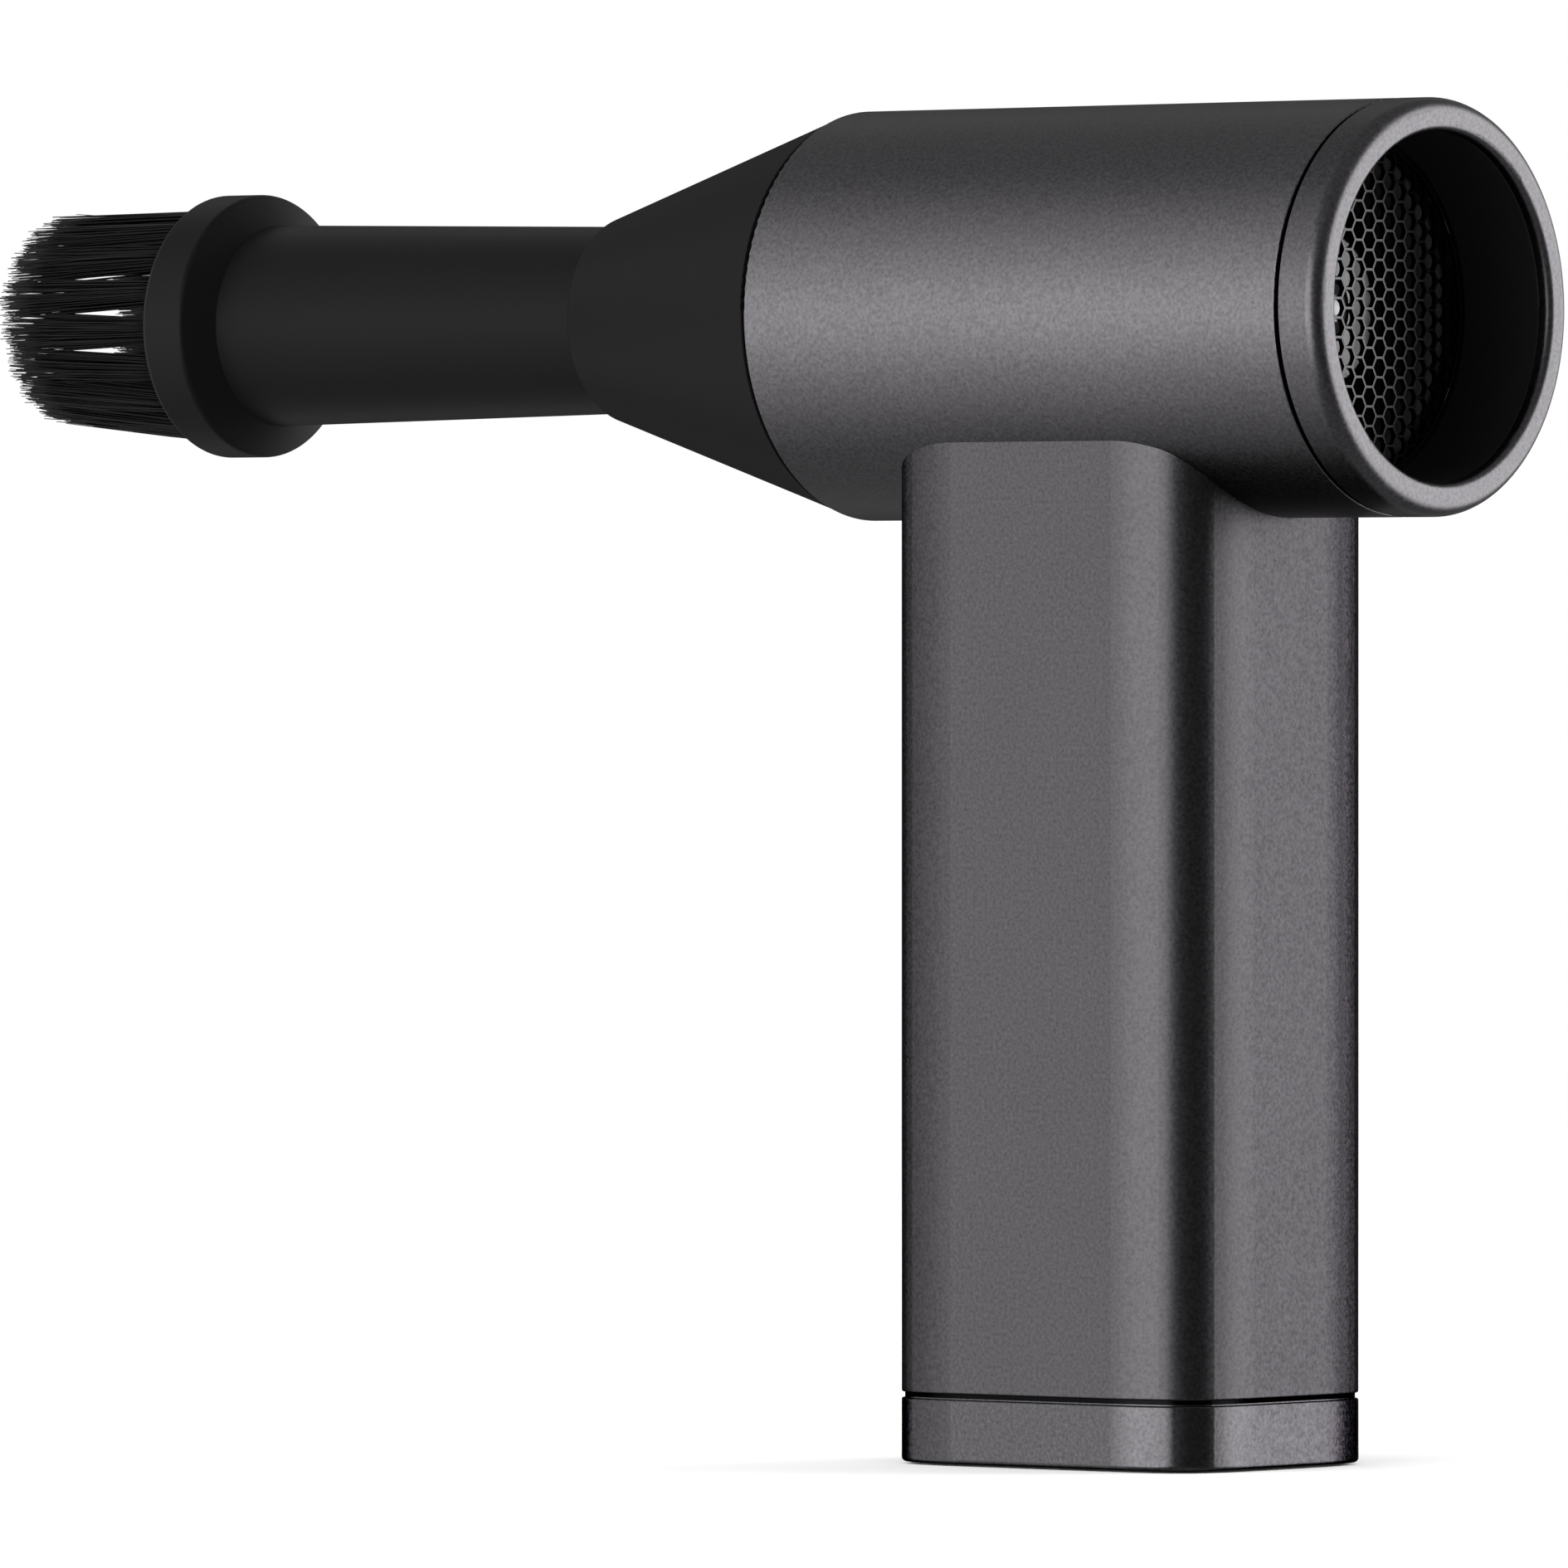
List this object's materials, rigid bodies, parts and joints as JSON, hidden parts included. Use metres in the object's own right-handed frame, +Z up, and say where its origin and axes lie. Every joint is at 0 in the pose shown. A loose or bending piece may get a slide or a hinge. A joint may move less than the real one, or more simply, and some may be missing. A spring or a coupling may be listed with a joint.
{
  "type": "cordless blower",
  "caption": "Pistol-shaped cordless blower on a flat-based square handle, with a round barrel, honeycomb rear intake, black cone and push-on tube ending in a ring of bristles.",
  "frame": {"origin": "centre of the flat base, on the face it stands on", "axes": "+Z up, +X along the barrel towards the air intake, -X towards the brush nozzle"},
  "size_m": [0.2201, 0.05, 0.164],
  "materials": {
    "anodised_shell": "bead-blasted and anodised dark grey, satin",
    "black_moulding": "fine-grained matte moulding",
    "inner_moulding": "smooth matte moulding",
    "bristle_nylon": "black nylon filament",
    "grille_metal": "thin honeycomb, satin black",
    "black_rubber": "matte rubber",
    "motor_alloy": "machined alloy",
    "plain_steel": "plated steel",
    "lamination_steel": "stacked laminations",
    "copper_wire": "enamelled copper winding",
    "circuit_board": "solder-masked board",
    "switch_plastic": "moulded switch body",
    "cell_wrap": "shrink wrap",
    "holder_plastic": "natural moulding",
    "nickel_strip": "bright nickel",
    "lead_insulation": "silicone insulation",
    "clear_lens": "clear moulded light pipe"
  },
  "bodies": {
    "housing": {"barrel_housing": "anodised_shell", "handle_housing": "anodised_shell", "base_cap": "anodised_shell", "foot_pad": "black_rubber", "cap_screws": "plain_steel", "neck_bracket": "inner_moulding", "barrel_saddle": "plain_steel", "neck_screws": "plain_steel", "front_cone": "black_moulding", "motor_duct": "motor_alloy", "intake_bell": "inner_moulding", "front_damper": "black_rubber", "rear_damper": "black_rubber", "stator_core": "lamination_steel", "stator_windings": "copper_wire", "motor_end_cap": "motor_alloy", "front_bearing": "plain_steel", "rear_bearing": "plain_steel", "motor_board": "circuit_board", "battery_cell_1": "cell_wrap", "battery_cell_2": "cell_wrap", "battery_cell_3": "cell_wrap", "lower_cell_holder": "holder_plastic", "upper_cell_holder": "holder_plastic", "cell_tabs": "nickel_strip", "battery_leads": "lead_insulation", "motor_leads": "lead_insulation", "main_board": "circuit_board", "charge_board": "circuit_board", "charge_socket": "plain_steel", "indicator_lens": "clear_lens", "trigger_guide": "inner_moulding", "trigger_spring": "plain_steel", "micro_switch": "switch_plastic"},
    "rotor": {"motor_shaft": "plain_steel", "rotor_magnet": "plain_steel", "impeller": "motor_alloy", "impeller_nut": "motor_alloy"},
    "trigger": {"trigger_button": "black_moulding", "switch_plunger": "inner_moulding"},
    "brush_nozzle": {"brush_tube": "black_moulding", "nozzle_seal": "black_rubber", "brush_collar": "black_moulding", "bristle_tufts": "bristle_nylon"},
    "intake_cover": {"intake_ring": "anodised_shell", "intake_shroud": "inner_moulding", "honeycomb_grille": "grille_metal"}
  },
  "joints": [
    {"name": "rotor_spin", "type": "hinge", "parent": "housing", "child": "rotor", "pos_m": [0, 0, 0.139], "axis": [1, 0, 0], "continuous": true},
    {"name": "trigger_press", "type": "slide", "parent": "housing", "child": "trigger", "axis": [1, 0, 0], "range_m": [0, 0.002], "stiffness_N_per_m": 600, "springref_m": -0.002, "deforming": ["trigger_spring"]},
    {"name": "nozzle_pull", "type": "slide", "parent": "housing", "child": "brush_nozzle", "axis": [-1, 0, 0], "range_m": [0, 0.02]},
    {"name": "cover_pull", "type": "slide", "parent": "housing", "child": "intake_cover", "axis": [1, 0, 0], "range_m": [0, 0.015]}
  ]
}
